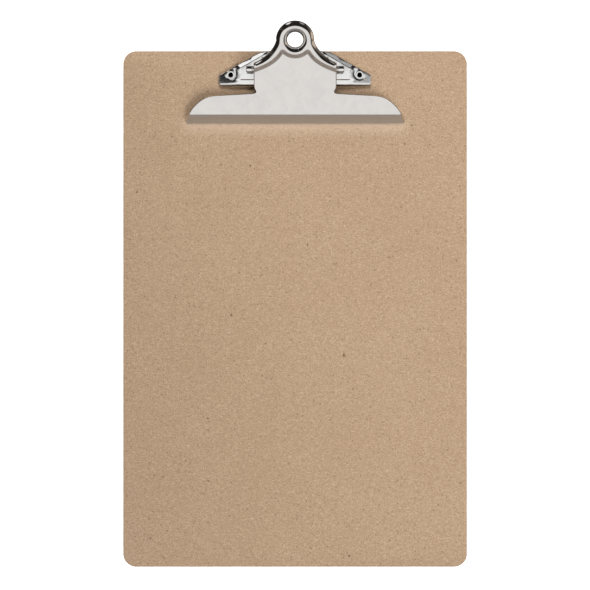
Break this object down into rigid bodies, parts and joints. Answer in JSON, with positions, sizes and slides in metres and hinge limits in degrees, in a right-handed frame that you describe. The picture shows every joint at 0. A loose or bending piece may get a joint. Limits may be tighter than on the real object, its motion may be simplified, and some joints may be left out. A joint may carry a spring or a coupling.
{
  "type": "clipboard",
  "caption": "Memo-size hardboard clipboard with a sprung metal clip: a wide pressed jaw with a hanging loop turns on a hinge pin over a riveted base plate.",
  "frame": {"origin": "centre of the board's flat back face", "axes": "+X to the right of the board, +Y towards the clip end, +Z out of the face that paper lies on"},
  "size_m": [0.1524, 0.2402, 0.0242],
  "materials": {
    "hardboard": "smooth brown hardboard with a faint fibre fleck and rough sawn edges",
    "nickel_plate": "bright nickel plate, slightly soft",
    "chrome_plate": "bright plate",
    "spring_steel": "drawn spring wire"
  },
  "bodies": {
    "board_assembly": {"board": "hardboard", "base_plate": "chrome_plate", "hinge_pin": "chrome_plate", "rivet_left": "chrome_plate", "rivet_right": "chrome_plate", "spring_left": "spring_steel", "spring_right": "spring_steel"},
    "jaw": {"clip_jaw": "nickel_plate"}
  },
  "joints": [
    {"name": "clip_hinge", "type": "hinge", "parent": "board_assembly", "child": "jaw", "pos_m": [0, 0.1055, 0.0105], "axis": [-1, 0, 0], "range_deg": [0, 30], "stiffness_Nm_per_rad": 0.6, "springref_deg": -40.11, "deforming": ["spring_left", "spring_right"]}
  ]
}
